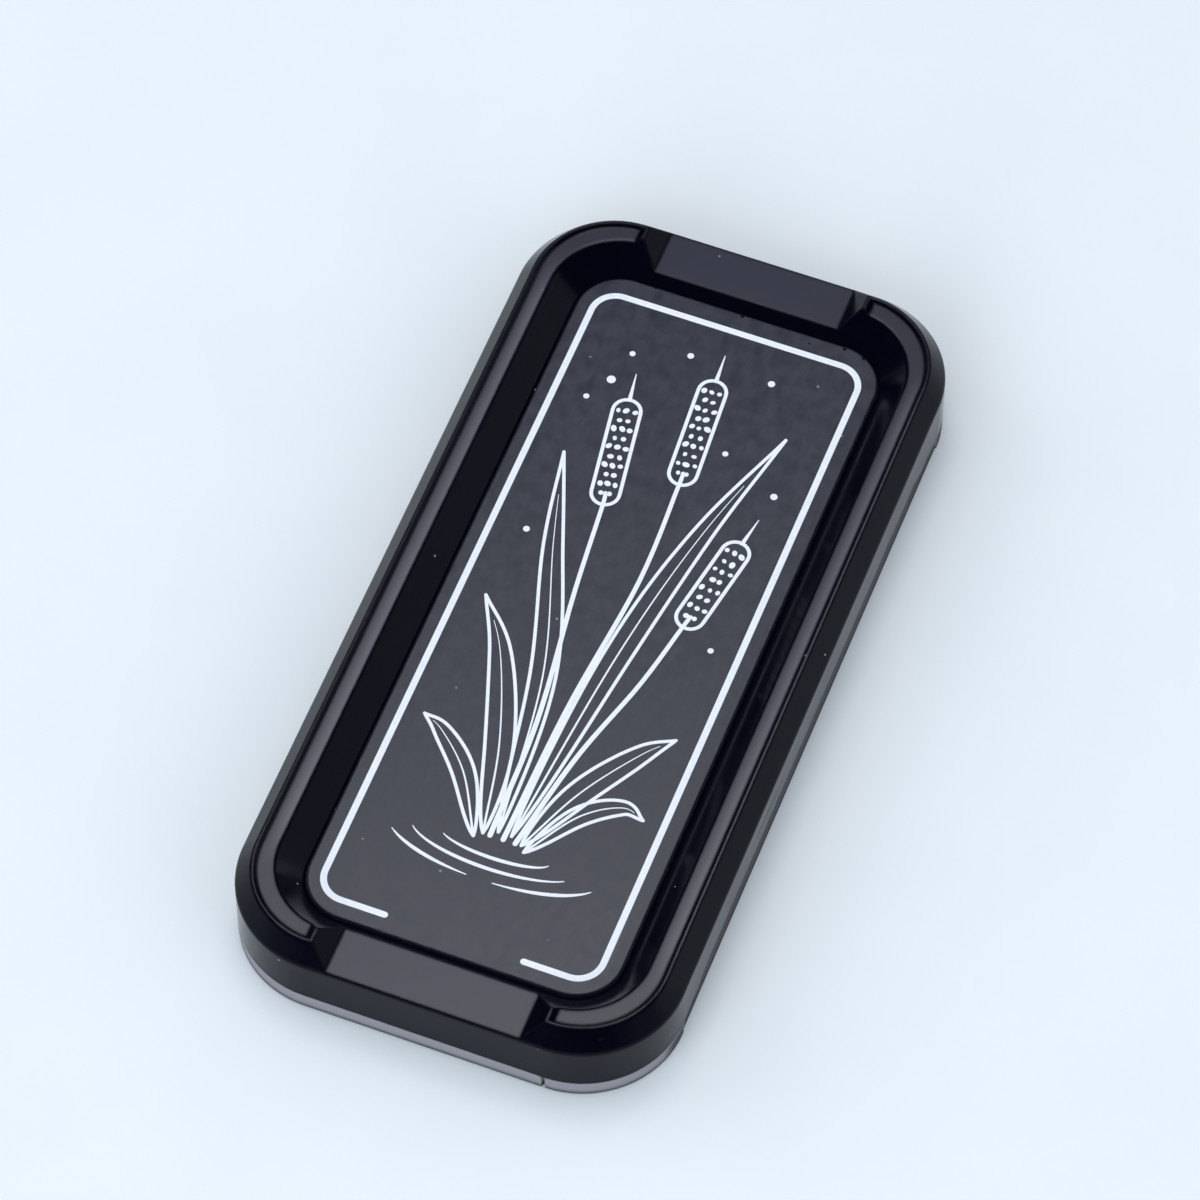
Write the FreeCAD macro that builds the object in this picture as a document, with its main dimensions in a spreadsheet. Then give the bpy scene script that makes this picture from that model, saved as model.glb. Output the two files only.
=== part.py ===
import FreeCAD, Part
import math
import os
import Sketcher

# Pocket fly box: a deep hinged lid with an inlaid sheet in a stepped recess, over a shallow tray.
# Millimetres, +Z up, +Y along the case, hinge on the -X side; origin at the centre of the underside.

SIZES = {
    # whole case
    "case_length": 150.0,
    "case_width": 73.0,
    "case_corner": 16.6,
    "rim_height": 16.2,
    "shoulder_height": 12.5,
    "lip_height": 3.4,
    "parting_gap": 0.2,
    # lid section, from the outer wall inwards
    "lid_wall": 1.8,
    "shoulder_rounding": 0.7,
    "rim_slope": 2.6,
    "rim_rounding": 0.5,
    "rim_flat": 0.4,
    "step_run": 0.5,
    "step_rise": 0.6,
    "ledge_width": 2.4,
    "ledge_rounding": 0.5,
    "ledge_stop": 0.4,
    "ledge_ramp": 0.9,
    "slope_run": 4.55,
    "recess_depth": 4.6,
    "ledge_corner": 12.0,
    "recess_corner": 7.75,
    "ceiling": 1.6,
    "slope_wall": 2.6,
    "rim_wall": 1.6,
    "channel_chamfer": 0.9,
    # end notches
    "notch_half_width": 16.0,
    "notch_flare": 3.1,
    "notch_depth": 3.3,
    "bridge_margin": 2.0,
    "bridge_overlap": 0.3,
    # inlaid sheet
    "sheet_thickness": 0.6,
    "sheet_gap": 0.15,
    "sheet_edge": 0.2,
    # tray
    "tray_floor": 1.5,
    "tray_edge": 0.4,
    "upstand_gap": 0.4,
    "upstand_wall": 1.6,
    "upstand_top": 7.9,
    # finger tab and its relief on the opening side
    "tab_rise": 1.7,
    "tab_half_length": 46.5,
    "tab_ramp": 5.0,
    "tab_gap": 0.22,
    "relief_depth": 0.25,
    "relief_half_length": 57.5,
    "relief_above_tab": 0.5,
    # vent slit in the lip
    "slit_offset": 19.8,
    "slit_width": 0.6,
    "slit_depth": 0.8,
    # seal
    "seal_bottom": 6.1,
    "seal_height": 1.2,
    "seal_seat": 0.7,
    "seal_fit": 0.05,
    "seal_gap": 0.25,
    "seal_edge": 0.3,
    # sheet in the tray
    "liner_thickness": 0.8,
    "liner_gap": 0.8,
    # closing magnets
    "magnet_radius": 2.5,
    "magnet_height": 2.0,
    "magnet_fit": 0.03,
    "magnet_gap": 0.3,
    "magnet_inset": 10.45,
    "base_boss_radius": 4.4,
    "base_boss_height": 3.0,
    "lid_boss_radius": 3.6,
    # hinge
    "hinge_outset": 0.3,
    "knuckle_radius": 1.4,
    "knuckle_clearance": 0.25,
    "knuckle_gap": 0.3,
    "lid_knuckle": 4.4,
    "base_knuckle": 3.4,
    "hinge_station": 38.0,
    "gusset_height": 2.0,
    "pin_radius": 0.6,
    "pin_fit": 0.02,
    "pin_running_fit": 0.06,
    "pin_chamfer": 0.15,
}

doc = FreeCAD.newDocument("fly_box")
sheet = doc.addObject("Spreadsheet::Sheet", "Sizes")
for row, (alias, size) in enumerate(SIZES.items(), start=1):
    sheet.set(f"A{row}", alias)
    sheet.set(f"B{row}", str(size))
    sheet.setAlias(f"B{row}", alias)
doc.recompute()


def ref(text):
    """Formula with every size name turned into a reference to its cell."""
    words = []
    for word in text.replace("(", "( ").replace(")", " )").split():
        words.append(f"Sizes.{word}" if word in SIZES else word)
    return "(" + " ".join(words) + ")"


# Levels and half sizes that several pieces share
HALF_X = ref("case_width / 2")
HALF_Y = ref("case_length / 2")
LID_BOTTOM = ref("lip_height + parting_gap")
RIM_TOP = ref("rim_height")
SHOULDER = ref("shoulder_height")
LEDGE = ref("rim_height - step_rise")
RECESS = ref("rim_height - step_rise - recess_depth")
CEILING = ref("rim_height - step_rise - recess_depth - ceiling")
CHANNEL_TOP = ref("rim_height - step_rise - rim_wall")
NOTCH_FLOOR = ref("rim_height - notch_depth")
TAB_TOP = ref("lip_height + tab_rise")
STEP_TOP_INSET = ref("rim_slope + rim_flat")
LEDGE_OUT_INSET = ref("rim_slope + rim_flat + step_run")
LEDGE_IN_INSET = ref("rim_slope + rim_flat + step_run + ledge_width")
RECESS_INSET = ref("rim_slope + rim_flat + step_run + ledge_width + slope_run")
UPSTAND_INSET = ref("lid_wall + upstand_gap")
TRAY_INSET = ref("lid_wall + upstand_gap + upstand_wall")
SEAT_INSET = ref("lid_wall + upstand_gap + seal_seat")
MAGNET_X = ref("case_width / 2 - magnet_inset")
MAGNET_Y = ref("case_length / 2 - magnet_inset")
BASE_BOSS_TOP = ref("tray_floor + base_boss_height")
LID_BOSS_BOTTOM = ref("tray_floor + base_boss_height + magnet_gap")
HINGE_X = ref("-1 * case_width / 2 - hinge_outset")
HINGE_Z = ref("lip_height + parting_gap / 2")
LID_KNUCKLE_END = ref("lid_knuckle / 2")
BASE_KNUCKLE_START = ref("lid_knuckle / 2 + knuckle_gap")
BASE_KNUCKLE_END = ref("lid_knuckle / 2 + knuckle_gap + base_knuckle")
STATION = ref("hinge_station")
KNUCKLE_SWEEP = ref("knuckle_radius + knuckle_clearance")
MARGIN = "1"
SIDES = (1, -1)


def number(formula):
    return float(sheet.evalExpression(formula))


def minus(formula):
    return f"(-1 * {formula})"


def body(name):
    made = doc.addObject("PartDesign::Body", name)
    made.Label = name
    return made


def sketch(owner, name, role, **offset):
    """Sketch on one of the body's origin planes, moved by formulas in the plane's own axes."""
    made = owner.newObject("Sketcher::SketchObject", name)
    plane = next(item for item in owner.Origin.OriginFeatures if item.Role == role)
    made.AttachmentSupport = (plane, [""])
    made.MapMode = "FlatFace"
    for axis, formula in offset.items():
        made.setExpression(f"AttachmentOffset.Base.{axis}", formula)
    return made


def bind(sk, constraint, formula):
    index = sk.addConstraint(constraint)
    name = f"size_{index}"
    sk.renameConstraint(index, name)
    sk.setExpression(f"Constraints.{name}", formula)


def place(sk, kind, geometry, point, formula):
    """Puts one coordinate of a sketch point at a signed distance from the sketch's origin."""
    value = number(formula)
    if abs(value) < 1e-9:
        axis = -2 if kind == "DistanceX" else -1
        sk.addConstraint(Sketcher.Constraint("PointOnObject", geometry, point, axis))
    elif value > 0:
        bind(sk, Sketcher.Constraint(kind, -1, 1, geometry, point, value), formula)
    else:
        bind(sk, Sketcher.Constraint(kind, geometry, point, -1, 1, -value), minus(formula))


def polygon(sk, points):
    """Closed outline through points given as pairs of formulas."""
    spots = [FreeCAD.Vector(number(x), number(y), 0) for x, y in points]
    lines = []
    for start, end in zip(spots, spots[1:] + spots[:1]):
        lines.append(sk.addGeometry(Part.LineSegment(start, end), False))
    for line, following in zip(lines, lines[1:] + lines[:1]):
        sk.addConstraint(Sketcher.Constraint("Coincident", line, 2, following, 1))
    for line, (x, y) in zip(lines, points):
        place(sk, "DistanceX", line, 1, x)
        place(sk, "DistanceY", line, 1, y)


def rectangle(sk, left, right, low, high):
    polygon(sk, [(left, low), (right, low), (right, high), (left, high)])


def circle(sk, x, y, radius):
    centre = FreeCAD.Vector(number(x), number(y), 0)
    ring = sk.addGeometry(Part.Circle(centre, FreeCAD.Vector(0, 0, 1), number(radius)), False)
    bind(sk, Sketcher.Constraint("Radius", ring, number(radius)), radius)
    place(sk, "DistanceX", ring, 3, x)
    place(sk, "DistanceY", ring, 3, y)


def outline(sk, inset, corner):
    """Rounded rectangle inset from the case's outer wall, centred on the sketch's origin."""
    half_x, half_y = f"({HALF_X} - {inset})", f"({HALF_Y} - {inset})"
    hx, hy, radius = number(half_x), number(half_y), number(corner)
    cx, cy = hx - radius, hy - radius
    turns = [(cx, -cy, -90), (cx, cy, 0), (-cx, cy, 90), (-cx, -cy, 180)]
    runs = [((-cx, -hy), (cx, -hy)), ((hx, -cy), (hx, cy)),
            ((cx, hy), (-cx, hy)), ((-hx, cy), (-hx, -cy))]
    lines, arcs = [], []
    for (start, end), (x, y, angle) in zip(runs, turns):
        run = Part.LineSegment(FreeCAD.Vector(*start, 0), FreeCAD.Vector(*end, 0))
        lines.append(sk.addGeometry(run, False))
        full = Part.Circle(FreeCAD.Vector(x, y, 0), FreeCAD.Vector(0, 0, 1), radius)
        quarter = Part.ArcOfCircle(full, math.radians(angle), math.radians(angle + 90))
        arcs.append(sk.addGeometry(quarter, False))
    for line, arc, following in zip(lines, arcs, lines[1:] + lines[:1]):
        sk.addConstraint(Sketcher.Constraint("Tangent", line, 2, arc, 1))
        sk.addConstraint(Sketcher.Constraint("Tangent", arc, 2, following, 1))
    for line, direction in zip(lines, ("Horizontal", "Vertical", "Horizontal", "Vertical")):
        sk.addConstraint(Sketcher.Constraint(direction, line))
    for arc in arcs[1:]:
        sk.addConstraint(Sketcher.Constraint("Equal", arcs[0], arc))
    bind(sk, Sketcher.Constraint("Radius", arcs[0], radius), corner)
    place(sk, "DistanceY", lines[0], 1, minus(half_y))
    place(sk, "DistanceX", lines[1], 1, half_x)
    place(sk, "DistanceY", lines[2], 1, half_y)
    place(sk, "DistanceX", lines[3], 1, minus(half_x))


def concentric(inset):
    """Corner radius that keeps an inset outline parallel to the outer wall."""
    return f"({ref('case_corner')} - {inset})"


def outline_sketch(owner, name, level, inset, corner=None):
    made = sketch(owner, name, "XY_Plane", z=level)
    outline(made, inset, corner or concentric(inset))
    return made


def extrude(owner, kind, name, profile, length, back=False, both=False):
    made = owner.newObject(f"PartDesign::{kind}", name)
    made.Profile = profile
    made.setExpression("Length", length)
    made.Reversed = back
    if both:
        made.SideType = "Symmetric"
    profile.Visibility = False
    doc.recompute()
    return made


def turn(owner, kind, name, profile):
    """Full turn about the sketch's own vertical axis."""
    made = owner.newObject(f"PartDesign::{kind}", name)
    made.Profile = profile
    made.ReferenceAxis = (profile, ["V_Axis"])
    made.Angle = 360
    profile.Visibility = False
    doc.recompute()
    return made


def loft(owner, kind, name, first, last):
    made = owner.newObject(f"PartDesign::{kind}", name)
    made.Profile = first
    made.Sections = [last]
    made.Ruled = True
    doc.recompute()
    return made


def break_edges(owner, kind, name, tip, size, wanted):
    """Fillet or chamfer on every edge of the tip that meets the condition."""
    edges = [f"Edge{i}" for i, edge in enumerate(tip.Shape.Edges, start=1) if wanted(edge)]
    made = owner.newObject(f"PartDesign::{kind}", name)
    made.Base = (tip, edges)
    made.setExpression("Radius" if kind == "Fillet" else "Size", size)
    doc.recompute()
    return made


def level_at(edge, formula):
    height = number(formula)
    return abs(edge.BoundBox.ZMin - height) < 1e-4 and abs(edge.BoundBox.ZMax - height) < 1e-4


def hinge_sketch(owner, name):
    return sketch(owner, name, "XY_Plane", x=HINGE_X, z=HINGE_Z)


def hinge_spans(sk, radius, start, end, mirrored):
    """Half sections of round hinge spans at both stations, mirrored about the station where asked."""
    for side in SIDES:
        for turned in SIDES if mirrored else (1,):
            low, high = (start, end) if turned > 0 else (minus(end), minus(start))
            rectangle(sk, "0", radius, f"({side} * {STATION} + {low})", f"({side} * {STATION} + {high})")


def whole_station(sk, radius):
    hinge_spans(sk, radius, minus(BASE_KNUCKLE_END), BASE_KNUCKLE_END, False)


def gussets(owner, name, start, end, mirrored, height):
    """Webs that carry the knuckles, from the hinge axis to the wall, up or down by the given height."""
    spans = [(side, turned) for side in SIDES for turned in (SIDES if mirrored else (1,))]
    for count, (side, turned) in enumerate(spans, start=1):
        middle = f"({side} * {STATION} + {turned} * ({start} + {end}) / 2)"
        sk = sketch(owner, f"{name}_section_{count}", "XZ_Plane", z=minus(middle))
        outer = f"({HINGE_X} - {ref('knuckle_radius')})"
        inner = ref("lid_wall / 4 - case_width / 2")
        polygon(sk, [(outer, HINGE_Z), (inner, HINGE_Z), (inner, height), (HINGE_X, height)])
        extrude(owner, "Pad", f"{name}_{count}", sk, f"{end} - {start}", both=True)


def side_profile(sk, half_length, run, top, bottom):
    """Low trapezium about the sketch's vertical axis, with its ends sloped over the given run."""
    foot = f"({half_length} + {run})"
    polygon(sk, [(minus(foot), bottom), (foot, bottom), (half_length, top), (minus(half_length), top)])


def build_lid_shell():
    lid = body("lid_shell")
    outer = outline_sketch(lid, "lid_outer", LID_BOTTOM, "0")
    extrude(lid, "Pad", "lid_block", outer, f"{SHOULDER} - {LID_BOTTOM}")
    shoulder = outline_sketch(lid, "shoulder_outline", SHOULDER, "0")
    crest = outline_sketch(lid, "crest_outline", RIM_TOP, ref("rim_slope"))
    rim = loft(lid, "AdditiveLoft", "rim", shoulder, crest)
    shoulder_round = break_edges(lid, "Fillet", "shoulder_round", rim, ref("shoulder_rounding"),
                                 lambda edge: level_at(edge, SHOULDER))
    break_edges(lid, "Fillet", "rim_round", shoulder_round, ref("rim_rounding"),
                lambda edge: level_at(edge, RIM_TOP))

    # inside of the wall and the hollow under the rim
    inner = outline_sketch(lid, "lid_inner", LID_BOTTOM, ref("lid_wall"))
    hollow = extrude(lid, "Pocket", "lid_hollow", inner, f"{CHANNEL_TOP} - {LID_BOTTOM}", back=True)
    break_edges(lid, "Chamfer", "channel_corner", hollow, ref("channel_chamfer"),
                lambda edge: level_at(edge, CHANNEL_TOP))

    # dish that carries the inlaid sheet: its side keeps one thickness under the sloped recess
    lower_inset = f"({RECESS_INSET} + {ref('ceiling * slope_run / recess_depth - slope_wall')})"
    rise = ref("recess_depth - rim_wall / 2")
    upper_inset = f"({RECESS_INSET} - {rise} * {ref('slope_run / recess_depth')} - {ref('slope_wall')})"
    turn_rate = ref("( ledge_corner - recess_corner ) / recess_depth")
    lower_corner = f"({ref('recess_corner + slope_wall')} - {ref('ceiling')} * {turn_rate})"
    upper_corner = f"({ref('recess_corner + slope_wall')} + {rise} * {turn_rate})"
    dish_low = outline_sketch(lid, "dish_low", CEILING, lower_inset, lower_corner)
    dish_high = outline_sketch(lid, "dish_high", f"({RECESS} + {rise})", upper_inset, upper_corner)
    loft(lid, "AdditiveLoft", "dish", dish_low, dish_high)

    # bridges that close the hollow under the end notches
    bridge = sketch(lid, "bridge_plan", "XY_Plane", z=f"({NOTCH_FLOOR} - {ref('ceiling')})")
    bridge_x = ref("notch_half_width + notch_flare + bridge_margin")
    for side in SIDES:
        near = f"({side} * ({HALF_Y} - {RECESS_INSET}))"
        far = f"({side} * ({HALF_Y} - {ref('lid_wall - bridge_overlap')}))"
        rectangle(bridge, minus(bridge_x), bridge_x, near, far)
    extrude(lid, "Pad", "notch_bridges", bridge,
            f"{CHANNEL_TOP} - {NOTCH_FLOOR} + {ref('ceiling + rim_wall / 4')}")

    # bosses for the closing magnets
    posts = sketch(lid, "lid_boss_plan", "XY_Plane", z=LID_BOSS_BOTTOM)
    pockets = sketch(lid, "lid_magnet_plan", "XY_Plane", z=LID_BOSS_BOTTOM)
    for side in SIDES:
        circle(posts, MAGNET_X, f"({side} * {MAGNET_Y})", ref("lid_boss_radius"))
        circle(pockets, MAGNET_X, f"({side} * {MAGNET_Y})", ref("magnet_radius + magnet_fit"))
    extrude(lid, "Pad", "lid_bosses", posts, f"{CHANNEL_TOP} - {LID_BOSS_BOTTOM} + {ref('rim_wall / 4')}")
    extrude(lid, "Pocket", "lid_magnet_seats", pockets, ref("magnet_height"), back=True)

    # step down from the rim to the ledge, ramps that end the ledge beside the notches,
    # then the slope down to the sheet's seat
    step_high = outline_sketch(lid, "step_high", RIM_TOP, STEP_TOP_INSET)
    step_low = outline_sketch(lid, "step_low", LEDGE, LEDGE_OUT_INSET)
    loft(lid, "SubtractiveLoft", "step", step_high, step_low)
    crest_inset = ref("rim_slope + rim_flat * 3 / 4")
    stop_x = ref("notch_half_width + notch_flare + ledge_stop")
    for count, side in enumerate(SIDES, start=1):
        middle = f"({side} * ({HALF_Y} - ({RECESS_INSET} + {crest_inset}) / 2))"
        stop = sketch(lid, f"ledge_stop_section_{count}", "XZ_Plane", z=minus(middle))
        side_profile(stop, stop_x, ref("ledge_ramp"), RIM_TOP, LEDGE)
        extrude(lid, "Pad", f"ledge_stop_{count}", stop, f"{RECESS_INSET} - {crest_inset}", both=True)
    high_inset = f"({LEDGE_IN_INSET} - {ref('step_rise * slope_run / recess_depth')})"
    high_corner = f"({ref('ledge_corner')} + {ref('step_rise')} * {turn_rate})"
    slope_high = outline_sketch(lid, "slope_high", RIM_TOP, high_inset, high_corner)
    slope_low = outline_sketch(lid, "slope_low", RECESS, RECESS_INSET, ref("recess_corner"))
    slope = loft(lid, "SubtractiveLoft", "slope", slope_high, slope_low)
    ledge_x = number(f"{HALF_X} - {LEDGE_IN_INSET} + {ref('ledge_width / 4')}")

    def ledge_brow(edge):
        reach = max(abs(edge.BoundBox.XMin), abs(edge.BoundBox.XMax))
        long_enough = edge.Length > number(ref("2 * ledge_width"))
        return level_at(edge, LEDGE) and reach < ledge_x and long_enough

    break_edges(lid, "Fillet", "ledge_round", slope, ref("ledge_rounding"), ledge_brow)

    # end notches through the rim
    notch = sketch(lid, "notch_section", "XZ_Plane")
    floor_x = ref("notch_half_width")
    top_x = ref("notch_half_width + notch_flare * ( notch_depth + 1 ) / notch_depth")
    top_z = f"({RIM_TOP} + {MARGIN})"
    polygon(notch, [(minus(floor_x), NOTCH_FLOOR), (floor_x, NOTCH_FLOOR),
                    (top_x, top_z), (minus(top_x), top_z)])
    extrude(lid, "Pocket", "notches", notch, ref("case_length + 2"), both=True)

    # finger relief and scallop along the opening side
    relief = sketch(lid, "relief_side", "YZ_Plane", z=HALF_X)
    relief_top = f"({TAB_TOP} + {ref('relief_above_tab')})"
    side_profile(relief, ref("tab_half_length"), ref("relief_half_length - tab_half_length"),
                 relief_top, LID_BOTTOM)
    extrude(lid, "Pocket", "finger_relief", relief, ref("relief_depth"))
    scallop = sketch(lid, "scallop_side", "YZ_Plane", z=HALF_X)
    side_profile(scallop, ref("tab_half_length + tab_gap"), ref("tab_ramp"),
                 f"({TAB_TOP} + {ref('tab_gap')})", LID_BOTTOM)
    extrude(lid, "Pocket", "scallop", scallop, ref("lid_wall + 1"))

    # hinge: room for the tray's knuckles, then the lid's own knuckle and its bore
    room = hinge_sketch(lid, "lid_hinge_room")
    hinge_spans(room, KNUCKLE_SWEEP, LID_KNUCKLE_END, f"({BASE_KNUCKLE_END} + {ref('knuckle_gap')})", True)
    turn(lid, "Groove", "hinge_room", room)
    gussets(lid, "lid_gusset", minus(LID_KNUCKLE_END), LID_KNUCKLE_END, False,
            f"({HINGE_Z} + {ref('knuckle_radius + gusset_height')})")
    barrel = hinge_sketch(lid, "lid_barrel")
    hinge_spans(barrel, ref("knuckle_radius"), minus(LID_KNUCKLE_END), LID_KNUCKLE_END, False)
    turn(lid, "Revolution", "lid_knuckles", barrel)
    bore = hinge_sketch(lid, "lid_bore")
    whole_station(bore, ref("pin_radius + pin_running_fit"))
    turn(lid, "Groove", "lid_bores", bore)
    return lid


def build_base_tray():
    tray = body("base_tray")
    outer = outline_sketch(tray, "tray_outer", "0", "0")
    plate = extrude(tray, "Pad", "tray_plate", outer, ref("lip_height"))
    break_edges(tray, "Chamfer", "tray_edge", plate, ref("tray_edge"), lambda edge: level_at(edge, "0"))
    rise = outline_sketch(tray, "upstand_outer", ref("lip_height"), UPSTAND_INSET)
    extrude(tray, "Pad", "upstand", rise, ref("upstand_top - lip_height"))

    # finger tab that fills the lid's scallop
    tab = sketch(tray, "tab_side", "YZ_Plane", z=HALF_X)
    side_profile(tab, ref("tab_half_length"), ref("tab_ramp"), TAB_TOP, ref("lip_height"))
    extrude(tray, "Pad", "tab", tab, f"{UPSTAND_INSET} + {ref('upstand_wall / 2')}", back=True)
    relief = sketch(tray, "tab_relief_side", "YZ_Plane", z=HALF_X)
    side_profile(relief, ref("relief_half_length"), ref("tab_ramp / 5"),
                 f"({TAB_TOP} + {MARGIN})", minus(MARGIN))
    extrude(tray, "Pocket", "tab_relief", relief, ref("relief_depth"))

    inside = outline_sketch(tray, "tray_inner", ref("upstand_top"), TRAY_INSET)
    extrude(tray, "Pocket", "tray_hollow", inside, ref("upstand_top - tray_floor"))

    # seat of the seal around the upstand
    seat = outline_sketch(tray, "seal_seat_ring", ref("seal_bottom"), ref("lid_wall"))
    outline(seat, SEAT_INSET, concentric(SEAT_INSET))
    extrude(tray, "Pocket", "seal_seat", seat, ref("seal_height"), back=True)

    # vent slit in the near lip
    slit = sketch(tray, "slit_plan", "XY_Plane")
    rectangle(slit, ref("slit_offset - slit_width / 2"), ref("slit_offset + slit_width / 2"),
              f"(-1 * {HALF_Y} - {MARGIN})", f"(-1 * {HALF_Y} + {ref('slit_depth')})")
    extrude(tray, "Pocket", "slit", slit, ref("lip_height"), back=True)

    # bosses for the closing magnets
    posts = sketch(tray, "base_boss_plan", "XY_Plane", z=ref("tray_floor / 2"))
    pockets = sketch(tray, "base_magnet_plan", "XY_Plane", z=BASE_BOSS_TOP)
    for side in SIDES:
        circle(posts, MAGNET_X, f"({side} * {MAGNET_Y})", ref("base_boss_radius"))
        circle(pockets, MAGNET_X, f"({side} * {MAGNET_Y})", ref("magnet_radius + magnet_fit"))
    extrude(tray, "Pad", "base_bosses", posts, f"{BASE_BOSS_TOP} - {ref('tray_floor / 2')}")
    extrude(tray, "Pocket", "base_magnet_seats", pockets, ref("magnet_height"))

    # hinge: room for the lid's knuckle, then the outer knuckles, their webs and the bore
    room = hinge_sketch(tray, "tray_hinge_room")
    hinge_spans(room, KNUCKLE_SWEEP, minus(BASE_KNUCKLE_START), BASE_KNUCKLE_START, False)
    turn(tray, "Groove", "tray_room", room)
    gussets(tray, "tray_gusset", BASE_KNUCKLE_START, BASE_KNUCKLE_END, True,
            f"({HINGE_Z} - {ref('gusset_height')})")
    barrel = hinge_sketch(tray, "tray_barrel")
    hinge_spans(barrel, ref("knuckle_radius"), BASE_KNUCKLE_START, BASE_KNUCKLE_END, True)
    turn(tray, "Revolution", "tray_knuckles", barrel)
    bore = hinge_sketch(tray, "tray_bore")
    whole_station(bore, ref("pin_radius + pin_fit"))
    turn(tray, "Groove", "tray_bores", bore)
    return tray


def build_lid_panel():
    panel = body("lid_panel")
    inset = f"({RECESS_INSET} + {ref('sheet_gap')})"
    plan = outline_sketch(panel, "panel_plan", RECESS, inset, ref("recess_corner - sheet_gap"))
    sheet_pad = extrude(panel, "Pad", "panel_sheet", plan, ref("sheet_thickness"))
    break_edges(panel, "Chamfer", "panel_edge", sheet_pad, ref("sheet_edge"),
                lambda edge: level_at(edge, f"({RECESS} + {ref('sheet_thickness')})"))
    return panel


def build_liner():
    liner = body("base_magnet_sheet")
    inset = f"({TRAY_INSET} + {ref('liner_gap')})"
    plan = outline_sketch(liner, "liner_plan", ref("tray_floor"), inset)
    extrude(liner, "Pad", "liner_sheet", plan, ref("liner_thickness"))
    cut = sketch(liner, "liner_cuts", "XY_Plane", z=ref("tray_floor"))
    for side in SIDES:
        circle(cut, MAGNET_X, f"({side} * {MAGNET_Y})", ref("base_boss_radius + liner_gap / 2"))
    extrude(liner, "Pocket", "liner_boss_cuts", cut, ref("liner_thickness"), back=True)
    return liner


def build_seal():
    seal = body("seal_ring")
    inner_inset = f"({SEAT_INSET} - {ref('seal_fit')})"
    outer_inset = ref("lid_wall + seal_gap")
    ring = outline_sketch(seal, "seal_plan", ref("seal_bottom + seal_fit"), outer_inset)
    outline(ring, inner_inset, concentric(inner_inset))
    band = extrude(seal, "Pad", "seal_band", ring, ref("seal_height - 2 * seal_fit"))
    outer_x, outer_y = number(f"{HALF_X} - {outer_inset}"), number(f"{HALF_Y} - {outer_inset}")
    corner = number(concentric(outer_inset))

    def outer_edge(edge):
        box = edge.BoundBox
        flat = box.ZMax - box.ZMin < 1e-4
        reach_x = max(abs(box.XMin), abs(box.XMax))
        reach_y = max(abs(box.YMin), abs(box.YMax))
        on_outline = abs(reach_x - outer_x) < 1e-3 or abs(reach_y - outer_y) < 1e-3
        return flat and on_outline and box.DiagonalLength > corner

    break_edges(seal, "Chamfer", "seal_edge", band, ref("seal_edge"), outer_edge)
    return seal


def build_pin(name, side):
    pin = body(name)
    half = sketch(pin, f"{name}_section", "XY_Plane", x=HINGE_X, y=f"{side} * {STATION}", z=HINGE_Z)
    radius, end, chamfer = ref("pin_radius"), BASE_KNUCKLE_END, ref("pin_chamfer")
    neck, shoulder = f"({radius} - {chamfer})", f"({end} - {chamfer})"
    polygon(half, [("0", minus(end)), (neck, minus(end)), (radius, minus(shoulder)),
                   (radius, shoulder), (neck, end), ("0", end)])
    turn(pin, "Revolution", f"{name}_turned", half)
    return pin


def build_magnet(name, side, level):
    disc = doc.addObject("Part::Cylinder", name)
    disc.Label = name
    disc.setExpression("Radius", ref("magnet_radius"))
    disc.setExpression("Height", ref("magnet_height"))
    disc.setExpression("Placement.Base.x", MAGNET_X)
    disc.setExpression("Placement.Base.y", f"{side} * {MAGNET_Y}")
    disc.setExpression("Placement.Base.z", level)
    return disc


pieces = [build_lid_shell(), build_lid_panel(), build_base_tray(), build_liner(), build_seal()]
base_magnet_level = f"({BASE_BOSS_TOP} - {ref('magnet_height')})"
for end_name, side in (("far", 1), ("near", -1)):
    pieces.append(build_pin(f"hinge_pin_{end_name}", side))
    pieces.append(build_magnet(f"lid_magnet_{end_name}", side, LID_BOSS_BOTTOM))
    pieces.append(build_magnet(f"base_magnet_{end_name}", side, base_magnet_level))
doc.recompute()

for item in doc.Objects:
    if "Invalid" in item.State or "Error" in item.State:
        raise RuntimeError(f"{item.Name} did not build: {item.State}")
os.makedirs("parts", exist_ok=True)
for piece in pieces:
    shape = piece.Shape
    if shape.isNull() or not shape.isValid() or len(shape.Solids) != 1:
        raise RuntimeError(f"{piece.Label} is not one valid solid")
    shape.exportStep(f"parts/{piece.Label}.step")
    print(f"{piece.Label}: {shape.Volume:.1f} mm3, {len(shape.Faces)} faces")
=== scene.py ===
import math
import random

import bmesh
import bpy
from mathutils import Matrix, Vector


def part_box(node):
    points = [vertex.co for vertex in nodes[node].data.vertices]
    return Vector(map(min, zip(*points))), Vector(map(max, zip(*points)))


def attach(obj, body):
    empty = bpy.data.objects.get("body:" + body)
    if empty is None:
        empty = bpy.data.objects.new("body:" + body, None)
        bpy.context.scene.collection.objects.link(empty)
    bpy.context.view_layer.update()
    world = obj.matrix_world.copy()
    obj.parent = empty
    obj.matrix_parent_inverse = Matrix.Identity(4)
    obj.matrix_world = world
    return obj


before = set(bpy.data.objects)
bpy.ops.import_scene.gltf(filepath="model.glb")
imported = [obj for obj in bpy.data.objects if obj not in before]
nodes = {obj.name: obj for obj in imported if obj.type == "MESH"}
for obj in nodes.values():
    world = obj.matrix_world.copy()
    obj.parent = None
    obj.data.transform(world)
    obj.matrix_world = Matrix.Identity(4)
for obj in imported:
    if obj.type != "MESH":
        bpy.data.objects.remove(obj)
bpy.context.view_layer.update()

MM = 0.001
PANEL_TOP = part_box("lid_panel")[1].z
INK_THICKNESS = 0.03 * MM
INK_LAYER = 0.002 * MM
INK_LAYERS = 17
INK_SINK = 0.01 * MM
SEED = 7
random.seed(SEED)


# Node helpers

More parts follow.
